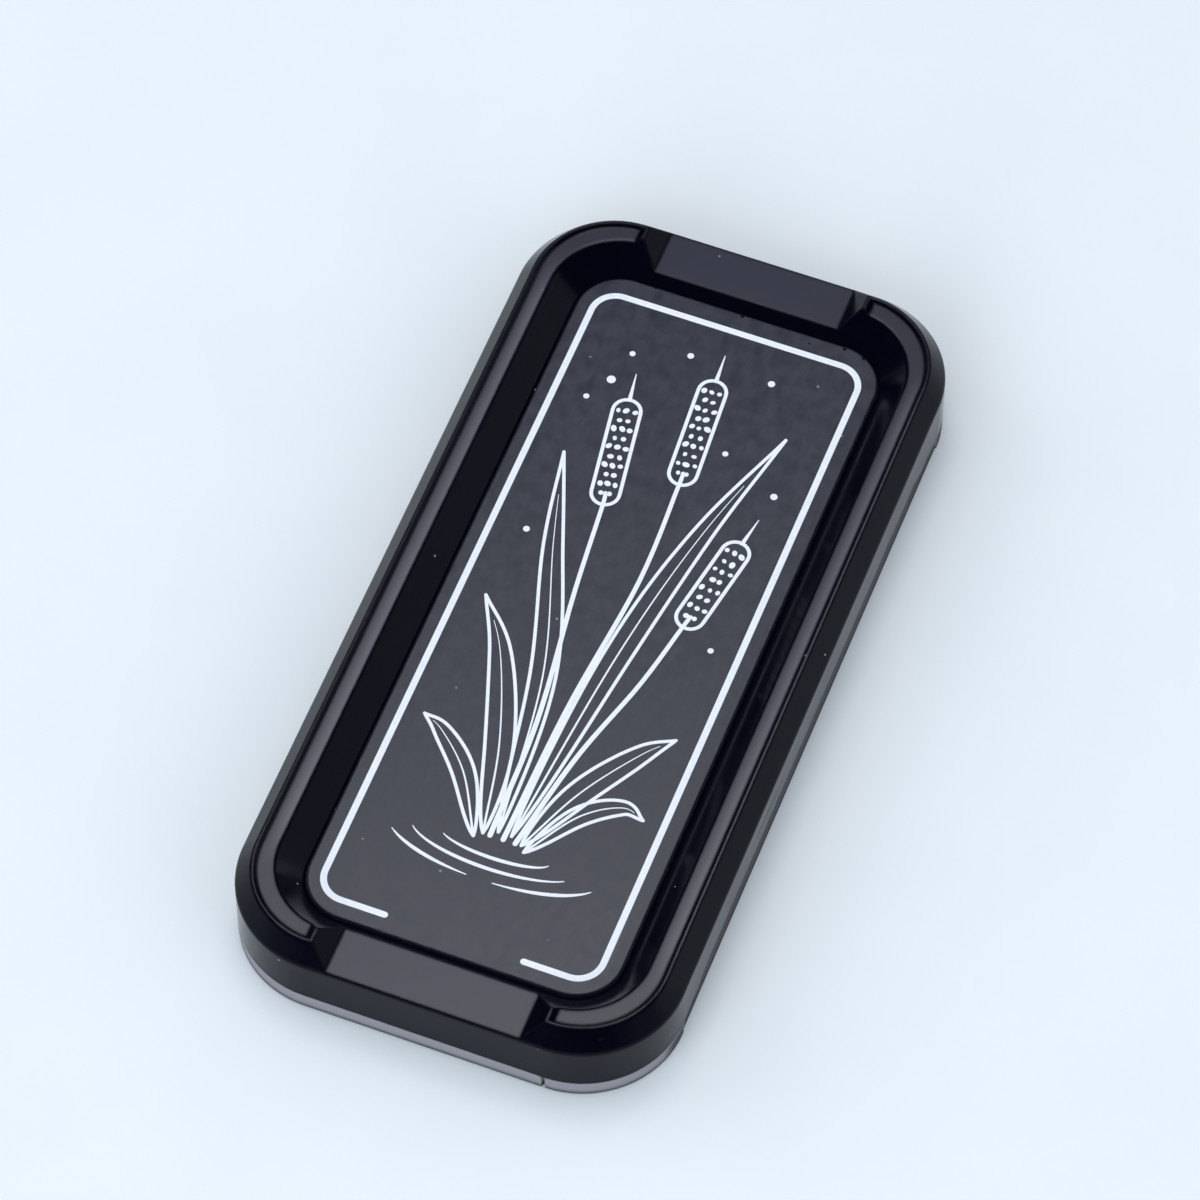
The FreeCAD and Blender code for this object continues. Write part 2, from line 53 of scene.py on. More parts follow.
NOISE_LOW, NOISE_HIGH = 0.3, 0.7
EDGE_SAMPLES = 6
EDGE_TURN = (0.995, 0.85)


def node(tree, kind, settings=None, sockets=None):
    """New shader node; a socket value that is itself a socket becomes a link."""
    made = tree.nodes.new(kind)
    for name, value in (settings or {}).items():
        setattr(made, name, value)
    for name, value in (sockets or {}).items():
        plug(tree, made.inputs[name], value)
    return made


def plug(tree, socket, value):
    if isinstance(value, bpy.types.NodeSocket):
        tree.links.new(value, socket)
    else:
        socket.default_value = value


def calc(tree, operation, first, second=0.0, clamp=False):
    made = node(tree, "ShaderNodeMath", {"operation": operation, "use_clamp": clamp})
    plug(tree, made.inputs[0], first)
    plug(tree, made.inputs[1], second)
    return made.outputs[0]


def remap(tree, value, low, high, to_low=0.0, to_high=1.0):
    made = node(tree, "ShaderNodeMapRange", {"interpolation_type": "SMOOTHSTEP"},
                {"Value": value, "From Min": low, "From Max": high, "To Min": to_low, "To Max": to_high})
    return made.outputs["Result"]


def blend(tree, factor, first, second):
    made = node(tree, "ShaderNodeMix", {"data_type": "RGBA"})
    plug(tree, made.inputs[0], factor)
    plug(tree, made.inputs[6], first)
    plug(tree, made.inputs[7], second)
    return made.outputs[2]


def mix_value(tree, factor, first, second):
    made = node(tree, "ShaderNodeMix", {"data_type": "FLOAT"})
    plug(tree, made.inputs[0], factor)
    plug(tree, made.inputs[2], first)
    plug(tree, made.inputs[3], second)
    return made.outputs[0]


def noise(tree, coordinate, scale, detail=3.0, stretch=(1.0, 1.0, 1.0), turn=0.0):
    placed = node(tree, "ShaderNodeMapping", {}, {
        "Vector": coordinate, "Scale": stretch, "Rotation": (0.0, 0.0, turn)})
    made = node(tree, "ShaderNodeTexNoise", {}, {
        "Vector": placed.outputs["Vector"], "Scale": scale, "Detail": detail})
    return made.outputs["Fac"]


SPECK_CORE = 0.4


def specks(tree, coordinate, scale, size, share, dimensions="3D"):
    """Mask of small round specks: one in some of the cells of a cell pattern."""
    cells = node(tree, "ShaderNodeTexVoronoi", {"voronoi_dimensions": dimensions}, {
        "Vector": coordinate, "Scale": scale})
    round_mask = remap(tree, cells.outputs["Distance"], size, size * SPECK_CORE)
    tint = node(tree, "ShaderNodeSeparateColor", {}, {"Color": cells.outputs["Color"]})
    return calc(tree, "MULTIPLY", round_mask, calc(tree, "LESS_THAN", tint.outputs[0], share))


def start(name):
    """New material with its tree, its shader and a node of coordinates."""
    made = bpy.data.materials.new(name)
    made.use_nodes = True
    tree = made.node_tree
    coords = node(tree, "ShaderNodeTexCoord")
    return made, tree, tree.nodes["Principled BSDF"], coords


def bump(tree, height, strength, depth, normal=None):
    made = node(tree, "ShaderNodeBump", {}, {"Height": height, "Strength": strength, "Distance": depth})
    if normal is not None:
        plug(tree, made.inputs["Normal"], normal)
    return made.outputs["Normal"]


def ramp(tree, value, low=0.0, high=1.0):
    """Noise spread over a range."""
    return remap(tree, value, NOISE_LOW, NOISE_HIGH, low, high)


def soft_edges(tree, radius):
    """Normal rounded over the edges, and a mask of where the rounding is."""
    rounded = node(tree, "ShaderNodeBevel", {"samples": EDGE_SAMPLES}, {"Radius": radius}).outputs["Normal"]
    flat = node(tree, "ShaderNodeNewGeometry").outputs["Normal"]
    made = node(tree, "ShaderNodeVectorMath", {"operation": "DOT_PRODUCT"})
    plug(tree, made.inputs[0], rounded)
    plug(tree, made.inputs[1], flat)
    return rounded, remap(tree, made.outputs["Value"], *EDGE_TURN)


# Materials

PAINTED_SHADE_BLACK = (0.0, 0.0, 0.0, 1.0)
DUST_GREY = (0.42, 0.43, 0.46, 1.0)
PLASTIC_INDEX = 1.2
SHEET_INDEX = 1.5
# Painted shade towards the lower edge keeps at least this share of colour and reflection.
PAINTED_SHADE_DARKEST = 0.1
# Range of the facing normal's x over which the +X side takes its painted shade.
SHADED_SIDE_FACING = (0.93, 0.99)
# Flat-top mask range, width of the painted highlight grade across the ledge, and length of the painted shade
# fade near the corners.
TOP_FACING = (0.965, 0.9995)
LEDGE_HALF_WIDTH = 1.2 * MM
CORNER_FADE = 14.0 * MM
SCRATCH_GLOSS = 0.55


def plastic(name, colour, satin, edge, specular, foot, painted_tops=None, shaded_side_colour=None):
    """Moulded plastic: cloudy gloss, fine grain, scratches, dust, worn edges, painted shade at the lower
    edge and on the +X side, and matte tops with painted sheen.
    """
    made, tree, shader, coords = start(name)
    place = coords.outputs["Object"]
    normal, worn = soft_edges(tree, edge)
    cloud = noise(tree, place, 90.0)
    grain = noise(tree, place, 2600.0, 2.0)
    hair = noise(tree, place, 500.0, 2.0, (1.0, 0.04, 1.0), 0.5)
    scratch = remap(tree, hair, 0.70, 0.78)
    dust = specks(tree, place, 420.0, 0.10, 0.05)
    gloss = ramp(tree, cloud, satin - 0.03, satin + 0.05)
    tone = colour
    index = PLASTIC_INDEX
    spot = node(tree, "ShaderNodeSeparateXYZ", {}, {"Vector": place})
    height = spot.outputs["Z"]
    # Painted shade: colour and reflection darken towards the lower edge of the part, standing in for shade
    # in the parting gap and at the floor.
    painted_foot_shade = remap(tree, height, *foot, PAINTED_SHADE_DARKEST, 1.0)
    turned = node(tree, "ShaderNodeVectorTransform", {
        "vector_type": "NORMAL", "convert_from": "WORLD", "convert_to": "OBJECT"}, {"Vector": normal})
    facing = node(tree, "ShaderNodeSeparateXYZ", {}, {"Vector": turned.outputs["Vector"]})
    # Painted shade: faces turned towards +X take a darker colour, for the side away from the key light.
    if shaded_side_colour is not None:
        tone = blend(tree, remap(tree, facing.outputs["X"], *SHADED_SIDE_FACING), colour, shaded_side_colour)
    # Painted sheen: flat upward faces take lighter tones in place of reflected light; above the split the
    # ledge grades from painted shade to painted highlight towards +X and fades back to painted shade near
    # the corners.
    if painted_tops is not None:
        flat_top = remap(tree, facing.outputs["Z"], *TOP_FACING)
        upper = calc(tree, "GREATER_THAN", height, painted_tops["split"])
        gloss = mix_value(tree, flat_top, gloss, painted_tops["satin"])
        side = calc(tree, "MULTIPLY", calc(tree, "SIGN", spot.outputs["X"]), painted_tops["middle"])
        across = calc(tree, "SUBTRACT", spot.outputs["X"], side)
        painted_highlight_grade = remap(tree, across, -LEDGE_HALF_WIDTH, LEDGE_HALF_WIDTH)
        high = blend(tree, painted_highlight_grade, painted_tops["painted_shade_tone"], painted_tops["high"])
        from_middle = calc(tree, "ABSOLUTE", spot.outputs["Y"])
        corner = remap(tree, from_middle, painted_tops["corner"] - CORNER_FADE, painted_tops["corner"])
        high = blend(tree, corner, high, painted_tops["painted_shade_tone"])
        tone = blend(tree, flat_top, colour, blend(tree, upper, painted_tops["low"], high))
        index = mix_value(tree, flat_top, PLASTIC_INDEX, SHEET_INDEX)
    gloss = mix_value(tree, calc(tree, "MULTIPLY", scratch, 0.5), gloss, SCRATCH_GLOSS)
    pale = tuple(min(part * 1.6 + 0.012, 1.0) for part in colour[:3]) + (1.0,)
    tone = blend(tree, calc(tree, "MULTIPLY", worn, 0.35), tone, pale)
    tone = blend(tree, calc(tree, "MULTIPLY", dust, 0.7), tone, DUST_GREY)
    # Painted shade towards the lower edge.
    tone = blend(tree, painted_foot_shade, PAINTED_SHADE_BLACK, tone)
    relief = calc(tree, "ADD", grain, calc(tree, "MULTIPLY", scratch, -0.6))
    plug(tree, shader.inputs["Base Color"], tone)
    plug(tree, shader.inputs["Roughness"], gloss)
    plug(tree, shader.inputs["Normal"], bump(tree, relief, 0.08, 0.05 * MM, normal))
    plug(tree, shader.inputs["IOR"], index)
    # Reflection is dimmed by the same painted shade towards the lower edge.
    plug(tree, shader.inputs["Specular IOR Level"], calc(tree, "MULTIPLY", painted_foot_shade, specular))
    return made


SHEET_EDGE = 0.25 * MM
SHEET_WORN = (0.11, 0.11, 0.12, 1.0)
SHEET_DUST = (0.36, 0.37, 0.40, 1.0)
CHIP_BLACK = (0.003, 0.003, 0.005, 1.0)
FULL_SPECULAR = 0.5


def sheet_material(name, colour, pale, rough, chips_from=None):
    """Matte sheet with streaks, mottling, fine tooth and dust, and dark chips past a place along it."""
    made, tree, shader, coords = start(name)
    place = coords.outputs["Object"]
    normal, worn = soft_edges(tree, SHEET_EDGE)
    streak = noise(tree, place, 1400.0, 3.0, (1.0, 0.25, 1.0), -0.35)
    mottle = noise(tree, place, 420.0, 5.0)
    tooth = noise(tree, place, 4200.0, 2.0)
    fibre = remap(tree, noise(tree, place, 260.0, 1.0, (1.0, 0.05, 1.0), 1.1), 0.74, 0.80)
    dust = specks(tree, place, 300.0, 0.09, 0.07)
    share = calc(tree, "ADD", calc(tree, "MULTIPLY", streak, 0.35), calc(tree, "MULTIPLY", mottle, 0.65))
    tone = blend(tree, ramp(tree, share), colour, pale)
    tone = blend(tree, calc(tree, "MULTIPLY", worn, 0.5), tone, SHEET_WORN)
    tone = blend(tree, calc(tree, "MULTIPLY", dust, 0.6), tone, SHEET_DUST)
    if chips_from is not None:
        along = node(tree, "ShaderNodeSeparateXYZ", {}, {"Vector": place}).outputs["Y"]
        chips = specks(tree, place, 260.0, 0.11, 0.75, "2D")
        chips = calc(tree, "MULTIPLY", chips, calc(tree, "GREATER_THAN", along, chips_from))
        tone = blend(tree, chips, tone, CHIP_BLACK)
        plug(tree, shader.inputs["Specular IOR Level"], mix_value(tree, chips, FULL_SPECULAR, 0.0))
    plug(tree, shader.inputs["Base Color"], tone)
    rough_here = ramp(tree, share, rough - 0.06, rough + 0.06)
    plug(tree, shader.inputs["Roughness"], mix_value(tree, fibre, rough_here, rough - 0.15))
    relief = calc(tree, "ADD", tooth, calc(tree, "MULTIPLY", streak, 0.3))
    plug(tree, shader.inputs["Normal"], bump(tree, relief, 0.12, 0.04 * MM, normal))
    return made


INK_THIN = (0.87, 0.88, 0.93, 1.0)
INK_FULL = (0.94, 0.94, 0.98, 1.0)
PINHOLE_GREY = (0.35, 0.36, 0.40, 1.0)


def ink_material(name):
    """Screen-printed white: slightly uneven coat with pinholes."""
    made, tree, shader, coords = start(name)
    place = coords.outputs["Object"]
    coat = noise(tree, place, 1500.0, 3.0)
    pinhole = specks(tree, place, 1700.0, 0.16, 0.10)
    tone = blend(tree, ramp(tree, coat), INK_THIN, INK_FULL)
    tone = blend(tree, calc(tree, "MULTIPLY", pinhole, 0.5), tone, PINHOLE_GREY)
    plug(tree, shader.inputs["Base Color"], tone)
    plug(tree, shader.inputs["Roughness"], ramp(tree, coat, 0.45, 0.62))
    plug(tree, shader.inputs["Normal"], bump(tree, coat, 0.10, 0.02 * MM))
    return made


def metal_material(name, colour, rough, stretch):
    """Bright metal with fine drawn lines and dull patches."""
    made, tree, shader, coords = start(name)
    place = coords.outputs["Object"]
    lines = noise(tree, place, 2400.0, 3.0, stretch)
    patch = noise(tree, place, 500.0)
    dull = tuple(part * 0.78 for part in colour[:3]) + (1.0,)
    plug(tree, shader.inputs["Base Color"], blend(tree, remap(tree, patch, 0.35, 0.7), colour, dull))
    plug(tree, shader.inputs["Roughness"], ramp(tree, lines, rough - 0.07, rough + 0.10))
    plug(tree, shader.inputs["Normal"], bump(tree, lines, 0.10, 0.02 * MM))
    shader.inputs["Metallic"].default_value = 1.0
    return made


def rubber_material(name, colour):
    """Silicone with a pale uneven bloom."""
    made, tree, shader, coords = start(name)
    place = coords.outputs["Object"]
    bloom = noise(tree, place, 700.0, 4.0)
    pale = tuple(part * 1.7 for part in colour[:3]) + (1.0,)
    plug(tree, shader.inputs["Base Color"], blend(tree, remap(tree, bloom, 0.3, 0.75), colour, pale))
    plug(tree, shader.inputs["Roughness"], ramp(tree, bloom, 0.5, 0.68))
    plug(tree, shader.inputs["Normal"], bump(tree, bloom, 0.1, 0.04 * MM))
    shader.inputs["Specular IOR Level"].default_value = 0.4
    return made


PAPER_DARK = (0.880, 0.902, 0.918, 1.0)
PAPER_PALE = (0.900, 0.918, 0.930, 1.0)


def floor_material(name):
    """Pale paper with a faint mottle."""
    made, tree, shader, coords = start(name)
    mottle = noise(tree, coords.outputs["Object"], 30.0, 5.0)
    tone = blend(tree, ramp(tree, mottle), PAPER_DARK, PAPER_PALE)
    plug(tree, shader.inputs["Base Color"], tone)
    shader.inputs["Roughness"].default_value = 0.9
    shader.inputs["Specular IOR Level"].default_value = 0.1
    return made


LID_BLACK = (0.0010, 0.0010, 0.0048, 1.0)
# Painted sheen tones for the lid's flat tops: low below the split; across the ledge from painted shade to
# painted highlight, back to painted shade near the corners.
LID_PAINTED_TOPS = {"low": (0.016, 0.017, 0.036, 1.0), "high": (0.085, 0.083, 0.104, 1.0),
            "painted_shade_tone": (0.014, 0.014, 0.030, 1.0), "satin": 0.34, "split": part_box("lid_shell")[1].z - 2.0 * MM,
            "middle": 32.0 * MM, "corner": 64.0 * MM}
LID_EDGE, BASE_EDGE = 0.8 * MM, 1.1 * MM
# Height bands over which the painted shade towards the lower edge fades out, for the lid and the base.
LID_FOOT, BASE_FOOT = (3.6 * MM, 4.5 * MM), (0.0, 1.8 * MM)
BASE_GREY = (0.290, 0.280, 0.300, 1.0)
# Painted shade: darker grey for the base's +X-facing side.
SHADED_SIDE_GREY = (0.088, 0.082, 0.094, 1.0)
PANEL_DARK = (0.008, 0.011, 0.027, 1.0)
PANEL_PALE = (0.023, 0.026, 0.044, 1.0)
CHIPPED_EDGE = 1.6 * MM
LINER_DARK = (0.024, 0.022, 0.021, 1.0)
LINER_PALE = (0.040, 0.037, 0.035, 1.0)
SILICONE = (0.055, 0.057, 0.062, 1.0)
STEEL = (0.62, 0.62, 0.63, 1.0)
NICKEL = (0.70, 0.69, 0.66, 1.0)
DRAWN_ALONG_Y, DRAWN_ALONG_Z = (1.0, 0.06, 1.0), (1.0, 1.0, 0.06)
finishes = {
    "lid_shell": plastic("lid_plastic", LID_BLACK, 0.13, LID_EDGE, 0.5, LID_FOOT, LID_PAINTED_TOPS),
    "base_tray": plastic("base_plastic", BASE_GREY, 0.62, BASE_EDGE, 0.2, BASE_FOOT, shaded_side_colour=SHADED_SIDE_GREY),
    "lid_panel": sheet_material("panel_sheet", PANEL_DARK, PANEL_PALE, 0.35,
                                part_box("lid_panel")[1].y - CHIPPED_EDGE),
    "base_magnet_sheet": sheet_material("liner_sheet", LINER_DARK, LINER_PALE, 0.62),
    "seal_ring": rubber_material("seal_silicone", SILICONE),
}
steel = metal_material("pin_steel", STEEL, 0.28, DRAWN_ALONG_Y)
nickel = metal_material("magnet_nickel", NICKEL, 0.22, DRAWN_ALONG_Z)
for name, item in nodes.items():
    if name.startswith("hinge_pin"):
        finish = steel
    elif name.startswith(("lid_magnet", "base_magnet_near", "base_magnet_far")):
        finish = nickel
    else:
        finish = finishes[name]
    item.data.materials.clear()
    item.data.materials.append(finish)


# Printed lines on the inlaid sheet, in millimetres about the middle of the printed border

BORDER_MIDDLE = Vector((-0.14, -0.38))
BORDER_HALF_X, BORDER_HALF_Y, BORDER_CORNER, BORDER_STROKE = 23.04, 61.03, 4.15, 1.07
BORDER_GAP = 11.5
CAP_STEPS = 5
THIN_TIP = 0.02
ROUND_STEPS = 12
HEAD_RADIUS, HEAD_STROKE = 2.3, 0.6
SPIKE_LENGTH = 5.2
SEED_ROW = 1.75
WIDE_ROW, NARROW_ROW = (-0.58, 0.0, 0.58), (-0.30, 0.30)
SEED_JITTER = 0.12
SEED_LEAST, SEED_MOST, SEED_STRETCH = 0.34, 0.50, 1.35
STEM_STROKE, LEAF_STROKE, RIPPLE_STROKE = 0.85, 0.55, 0.6
WATER_LEVEL = -43.5


def spline(points, steps=14):
    """Smooth line through the points."""
    spots = [Vector(p) for p in points]
    spots = [spots[0] * 2 - spots[1]] + spots + [spots[-1] * 2 - spots[-2]]
    line = []
    for a, b, c, d in zip(spots, spots[1:], spots[2:], spots[3:]):
        for step in range(steps):
            t = step / steps
            line.append(0.5 * (2 * b + (c - a) * t + (2 * a - 5 * b + 4 * c - d) * t * t
                               + (3 * b - a - 3 * c + d) * t ** 3))
    return line + [spots[-2]]


def arc(x, y, radius_x, radius_y, first, last, steps=24):
    angles = [math.radians(first + (last - first) * step / steps) for step in range(steps + 1)]
    return [Vector((x + radius_x * math.cos(a), y + radius_y * math.sin(a))) for a in angles]


def direction(line, index):
    step = line[min(index + 1, len(line) - 1)] - line[max(index - 1, 0)]
    return step.normalized()


def corner_points(mesh, spot, level):
    """A spot of the print as two mesh points, one at the ink's top and one just inside the sheet."""
    x, y = (spot + BORDER_MIDDLE) * MM
    return (mesh.verts.new((x, y, PANEL_TOP + level)), mesh.verts.new((x, y, PANEL_TOP - INK_SINK)))


def ink_level(mesh):
    """Height of the next stroke, so that strokes that cross lie on each other as printed coats do."""
    return INK_THICKNESS + INK_LAYER * (len(mesh.faces) % INK_LAYERS)


def ribbon(mesh, line, width, fade=None):
    """Round-ended stroke along a line; fade gives the share of the width at each place from 0 to 1."""
    rows = []
    last = len(line) - 1
    for index, spot in enumerate(line):
        half = width / 2 * (fade(index / last) if fade else 1.0)
        along = direction(line, index)
        if index in (0, last):
            sign = -1 if index == 0 else 1
            turns = [math.radians(90 * k / CAP_STEPS) for k in range(CAP_STEPS + 1)]
            caps = [(spot + along * sign * half * math.sin(a), max(half * math.cos(a), THIN_TIP), along)
                    for a in turns]
            rows += caps[::-1] if index == 0 else caps
        else:
            rows.append((spot, max(half, THIN_TIP), along))
    sections = []
    level = ink_level(mesh)
    for spot, half, along in rows:
        across = Vector((-along.y, along.x)) * half
        left_edge = corner_points(mesh, spot + across, level)
        right_edge = corner_points(mesh, spot - across, level)
        sections.append((*left_edge, *right_edge))
    for (lt, lb, rt, rb), (lt2, lb2, rt2, rb2) in zip(sections, sections[1:]):
        for face in ((lt, rt, rt2, lt2), (lb, lb2, rb2, rb), (lt, lt2, lb2, lb), (rt, rb, rb2, rt2)):
            mesh.faces.new(face)
    for section, turned in ((sections[0], 1), (sections[-1], -1)):
        lt, lb, rt, rb = section
        mesh.faces.new((lt, lb, rb, rt)[::turned])


def spot_ink(mesh, x, y, radius_x, radius_y, turn=0.0, steps=18):
    """Solid round or oval spot."""
    ring = []
    turned = Matrix.Rotation(turn, 2)
    for k in range(steps):
        a = 2 * math.pi * k / steps
        offset = turned @ Vector((radius_x * math.cos(a), radius_y * math.sin(a)))
        ring.append(corner_points(mesh, Vector((x, y)) + offset, INK_THICKNESS))
    mesh.faces.new([top for top, _ in ring])
    mesh.faces.new([low for _, low in reversed(ring)])
    for (top, low), (top2, low2) in zip(ring, ring[1:] + ring[:1]):
        mesh.faces.new((top, low, low2, top2))


def finish_print(name, mesh, ink):
    bmesh.ops.recalc_face_normals(mesh, faces=mesh.faces)
    data = bpy.data.meshes.new(name)
    mesh.to_mesh(data)
    mesh.free()
    made = bpy.data.objects.new(name, data)
    bpy.context.scene.collection.objects.link(made)
    data.materials.append(ink)
    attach(made, "lid")
    return made


def border_line():
    """Border from one end of the gap at the near end, round to the other."""
    hx, hy, r = BORDER_HALF_X, BORDER_HALF_Y, BORDER_CORNER
    corners = [(hx - r, -hy + r, -90), (hx - r, hy - r, 0), (-hx + r, hy - r, 90), (-hx + r, -hy + r, 180)]
    line = [Vector((BORDER_GAP, -hy))]
    for x, y, first in corners:
        line += arc(x, y, r, r, first, first + 90, 14)
    return line + [Vector((-BORDER_GAP, -hy))]


def leaf(mesh, spine, width, stroke):
    """Outlined blade around a spine, with a vein that stops short of the tip."""
    line = spline(spine)
    last = len(line) - 1
    sides = []
    for sign in (1, -1):
        side = []
        for index, spot in enumerate(line):
            along = direction(line, index)
            share = index / last
            swell = math.sin(math.pi * min(share ** 0.75, 1.0)) * width / 2
            side.append(spot + Vector((-along.y, along.x)) * sign * swell)
        sides.append(side)
    for side in sides:
        ribbon(mesh, side, stroke)
    vein = line[: int(last * 0.86)]
    ribbon(mesh, vein, stroke * 0.7, lambda share: 1.0 - 0.75 * share)


def seed_head(mesh, dots, base, tip, radius, stroke):
    """Outlined rounded head between two points, filled with spots, with a spike at the top."""
    base, tip = Vector(base), Vector(tip)
    along = (tip - base).normalized()
    across = Vector((-along.y, along.x))
    length = (tip - base).length
    outline = []
    for middle, first in ((tip, -90), (base, 90)):
        for k in range(ROUND_STEPS + 1):
            a = math.radians(first + 180 * k / ROUND_STEPS)
            outline.append(middle + along * radius * math.cos(a) - across * radius * math.sin(a))
    half = len(outline) // 2
    ribbon(mesh, outline[:half + 1], stroke)
    ribbon(mesh, outline[half:] + outline[:1], stroke)
    spike = [tip + along * (radius + SPIKE_LENGTH * k / 2) for k in range(3)]
    ribbon(mesh, spike, stroke * 1.2, lambda share: 1.0 - 0.8 * share)
    rows = int(length / SEED_ROW)
    for row in range(rows + 1):
        for offset in WIDE_ROW if row % 2 else NARROW_ROW:
            jitter = Vector([random.uniform(-SEED_JITTER, SEED_JITTER) for axis in "xy"])
            spot = base + along * (length * row / rows) + across * offset * radius + jitter
            size = random.uniform(SEED_LEAST, SEED_MOST)
            tall = size * random.uniform(1.0, SEED_STRETCH)
            spot_ink(dots, spot.x, spot.y, size, tall, random.uniform(0.0, 3.1), ROUND_STEPS)


ink = ink_material("white_print")
border = bmesh.new()
ribbon(border, border_line(), BORDER_STROKE)
finish_print("print_border", border, ink)

reeds, spots, ripples = bmesh.new(), bmesh.new(), bmesh.new()
STEMS = [
    [(-1.6, -42.0), (-2.4, -20.0), (-5.6, 4.0), (-7.4, 21.0)],
    [(0.6, -42.0), (1.2, -16.0), (3.2, 10.0), (2.6, 29.0)],
    [(2.6, -42.0), (5.8, -24.0), (10.2, -8.0), (12.6, 4.0)],
]
HEADS = [((-7.9, 24.0), (-10.4, 40.0)), ((2.4, 32.0), (1.2, 48.5)), ((13.2, 6.8), (15.6, 20.5))]
for stem, (head_base, head_tip) in zip(STEMS, HEADS):
    ribbon(reeds, spline(stem + [head_base]), STEM_STROKE, lambda share: 1.0 - 0.25 * share)
    seed_head(reeds, spots, head_base, head_tip, HEAD_RADIUS, HEAD_STROKE)
LEAVES = [
    ([(-2.8, -42.0), (-6.4, -26.0), (-12.6, -10.0), (-18.6, -1.0)], 4.6),
    ([(-4.0, -43.0), (-9.6, -33.0), (-15.6, -27.0), (-19.4, -25.0)], 3.6),
    ([(-0.6, -41.0), (-4.6, -12.0), (-12.2, 12.0), (-17.0, 29.0)], 4.2),
    ([(4.4, -43.0), (10.0, -34.0), (15.8, -30.0), (19.6, -31.0)], 3.4),
    ([(3.6, -42.0), (8.6, -30.0), (15.0, -20.0), (19.2, -15.5)], 4.4),
    ([(1.6, -41.0), (5.0, -4.0), (9.4, 22.0), (15.6, 44.0)], 4.4),
]
for spine, width in LEAVES:
    leaf(reeds, spine, width, LEAF_STROKE)
RIPPLES = [(9.0, 2.2, 200, 350), (14.0, 4.2, 196, 330), (18.0, 6.4, 205, 262), (18.0, 6.4, 276, 338)]
for reach, height, first, last in RIPPLES:
    ribbon(ripples, arc(0.0, WATER_LEVEL, reach, height, first, last), RIPPLE_STROKE,
           lambda share: 0.25 + 0.75 * math.sin(math.pi * share))
DOTS = [(-15.0, 45.0, 0.75), (-17.6, 40.5, 0.5), (9.6, 53.5, 0.6), (-4.6, 54.0, 0.55), (7.4, 38.0, 0.5),
        (-13.6, 51.0, 0.5), (17.6, 33.0, 0.6), (-17.2, 13.0, 0.55), (18.4, 2.0, 0.5)]
for x, y, size in DOTS:
    spot_ink(spots, x, y, size, size)
finish_print("print_reeds", reeds, ink)
finish_print("print_spots", spots, ink)
finish_print("print_ripples", ripples, ink)


# Floor that sweeps up into a low surround

FLOOR_RADIUS, FLOOR_RISE, FLOOR_CURVE = 4.0, 0.53, 0.5
FLAT_RINGS, CURVE_RINGS = 6, 12
FLOOR_GAP = 0.02 * MM


def sweep_floor(radius, rise, curve, segments=96):
    """Round floor whose edge curves up into a wall."""
    profile = [(radius * k / FLAT_RINGS, 0.0) for k in range(FLAT_RINGS + 1)]
    profile += [(radius + curve * math.sin(a), curve * (1 - math.cos(a)))
                for a in (math.radians(90 * k / CURVE_RINGS) for k in range(1, CURVE_RINGS + 1))]
    profile.append((radius + curve, rise))
    mesh = bmesh.new()
    rings = []
    for r, z in profile[1:]:
        angles = [2 * math.pi * k / segments for k in range(segments)]
        rings.append([mesh.verts.new((r * math.cos(a), r * math.sin(a), z)) for a in angles])
    centre = mesh.verts.new((0.0, 0.0, 0.0))
    for k in range(segments):
        mesh.faces.new((centre, rings[0][k], rings[0][(k + 1) % segments]))
    for low, high in zip(rings, rings[1:]):
        for k in range(segments):
            mesh.faces.new((low[k], high[k], high[(k + 1) % segments], low[(k + 1) % segments]))
    data = bpy.data.meshes.new("floor")
    mesh.to_mesh(data)
    mesh.free()
    data.shade_smooth()
    made = bpy.data.objects.new("floor", data)
    bpy.context.scene.collection.objects.link(made)
    return made


floor = sweep_floor(FLOOR_RADIUS, FLOOR_RISE, FLOOR_CURVE)
floor.location.z = -FLOOR_GAP
floor.data.materials.append(floor_material("floor_paper"))


# Light and camera

LAMP = (1.0, 0.985, 0.955)
SKYLIGHT = (0.82, 0.905, 1.0)
KEY_SIZE, CARD_SIZE, FILL_SIZE = (0.7, 0.7), (1.8, 0.7), (1.2, 1.2)
FILLS = [("fill_right", (1.3, -0.5, 0.75), 4.4), ("fill_near", (-0.2, -1.4, 0.75), 11.6),
         ("fill_left", (-1.4, -0.1, 0.65), 5.2)]
SKY_POWER, SKY_SPREAD, SKY_HEIGHT = 1.69, math.radians(150), 2.0
SURROUND, SURROUND_STRENGTH = (0.80, 0.88, 1.0, 1.0), 0.04


def area_light(name, place, size, power, colour):
    """Soft light that faces the middle of the scene."""
    data = bpy.data.lights.new(name, "AREA")
    data.shape = "RECTANGLE"
    data.size, data.size_y = size
    data.energy = power
    data.color = colour
    made = bpy.data.objects.new(name, data)
    made.location = place
    made.rotation_mode = "QUATERNION"
    made.rotation_quaternion = (-Vector(place)).to_track_quat("-Z", "Y")
    bpy.context.scene.collection.objects.link(made)
    return made


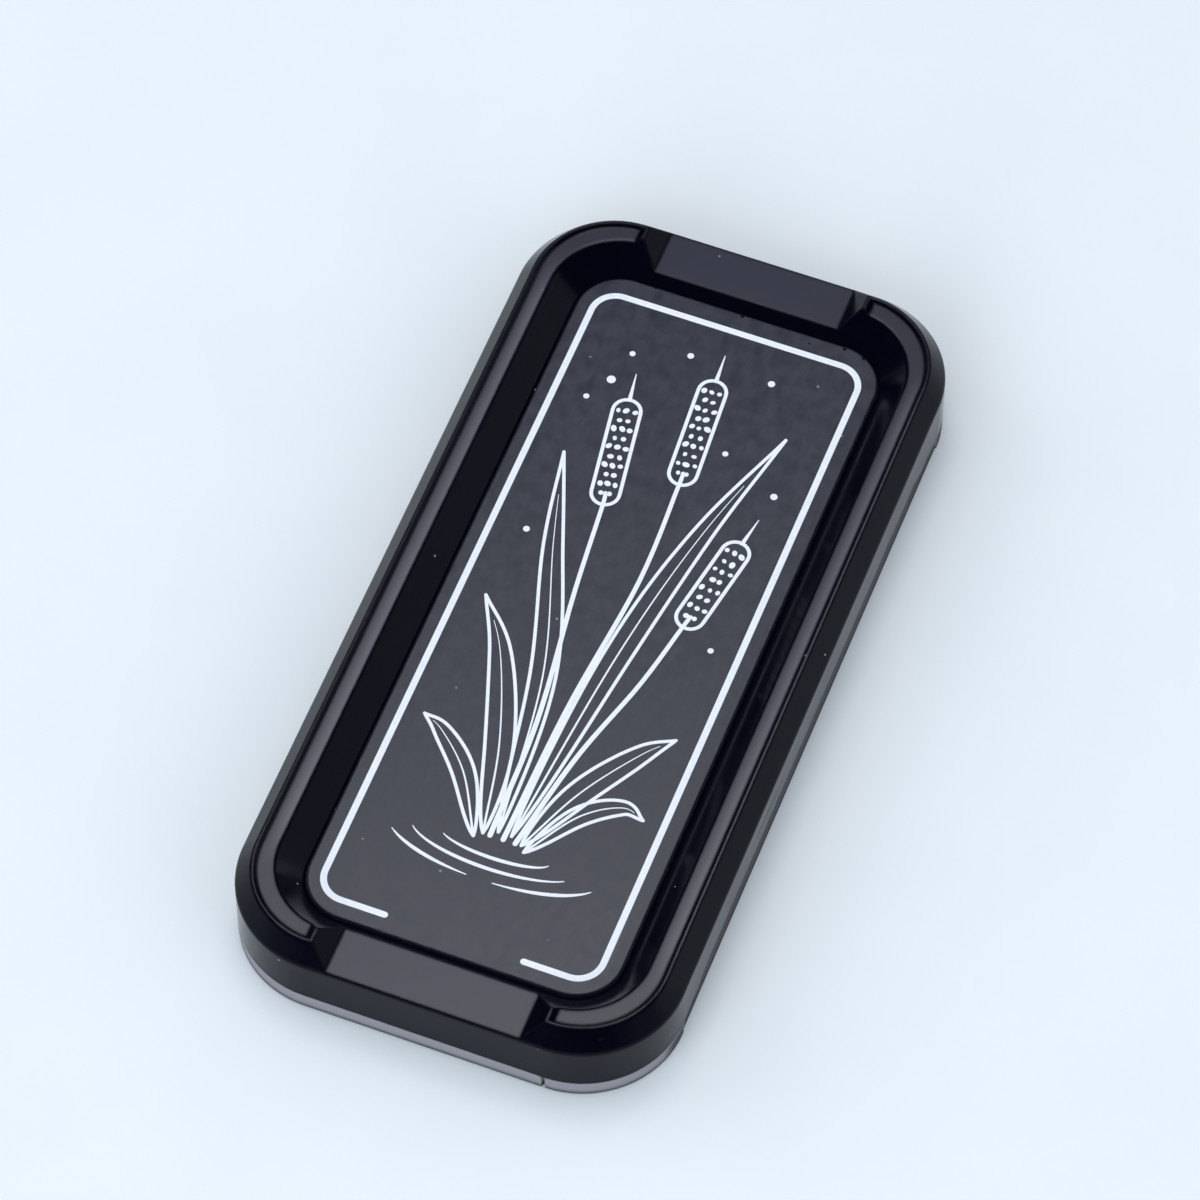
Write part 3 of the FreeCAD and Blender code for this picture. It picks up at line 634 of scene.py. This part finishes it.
area_light("key_softbox", (-0.165, 0.365, 1.5), KEY_SIZE, 4.3, LAMP)
key_card = area_light("key_card", (-0.167, 0.369, 1.515), KEY_SIZE, 4.0, LAMP)
key_card.visible_diffuse = False
area_light("card_right", (1.5, 0.95, 0.22), CARD_SIZE, 2.9, SKYLIGHT)
for name, place, power in FILLS:
    fill = area_light(name, place, FILL_SIZE, power, SKYLIGHT)
    fill.visible_glossy = False

sky = bpy.data.lights.new("fill_sky", "SUN")
sky.energy = SKY_POWER
sky.angle = SKY_SPREAD
sky.color = SKYLIGHT
fill_sky = bpy.data.objects.new("fill_sky", sky)
fill_sky.location.z = SKY_HEIGHT
fill_sky.visible_glossy = False
bpy.context.scene.collection.objects.link(fill_sky)

world = bpy.data.worlds.new("studio")
bpy.context.scene.world = world
world.use_nodes = True
background = world.node_tree.nodes["Background"]
background.inputs["Color"].default_value = SURROUND
background.inputs["Strength"].default_value = SURROUND_STRENGTH

# The photograph's view, solved from the border's lines, in units of half the border's width
UNIT = BORDER_HALF_X * MM
AZIMUTH, ELEVATION = math.radians(21.146), math.radians(57.277)
DISTANCE = 43.517
SHIFT_RIGHT, SHIFT_UP = 0.018, 0.175
LENS, SENSOR = 189.9, 36.0
right = Vector((math.cos(AZIMUTH), math.sin(AZIMUTH), 0.0))
back = Vector((math.sin(AZIMUTH) * math.cos(ELEVATION), -math.cos(AZIMUTH) * math.cos(ELEVATION),
               math.sin(ELEVATION)))
upward = back.cross(right)
aim = Vector((BORDER_MIDDLE.x * MM, BORDER_MIDDLE.y * MM, PANEL_TOP))
lens = bpy.data.cameras.new("photo_camera")
lens.lens = LENS
lens.sensor_width = SENSOR
camera = bpy.data.objects.new("photo_camera", lens)
camera.location = aim + (right * SHIFT_RIGHT + upward * SHIFT_UP + back * DISTANCE) * UNIT
camera.rotation_mode = "QUATERNION"
camera.rotation_quaternion = (-back).to_track_quat("-Z", "Y")
bpy.context.scene.collection.objects.link(camera)
bpy.context.scene.camera = camera
bpy.context.scene.view_settings.view_transform = "Standard"
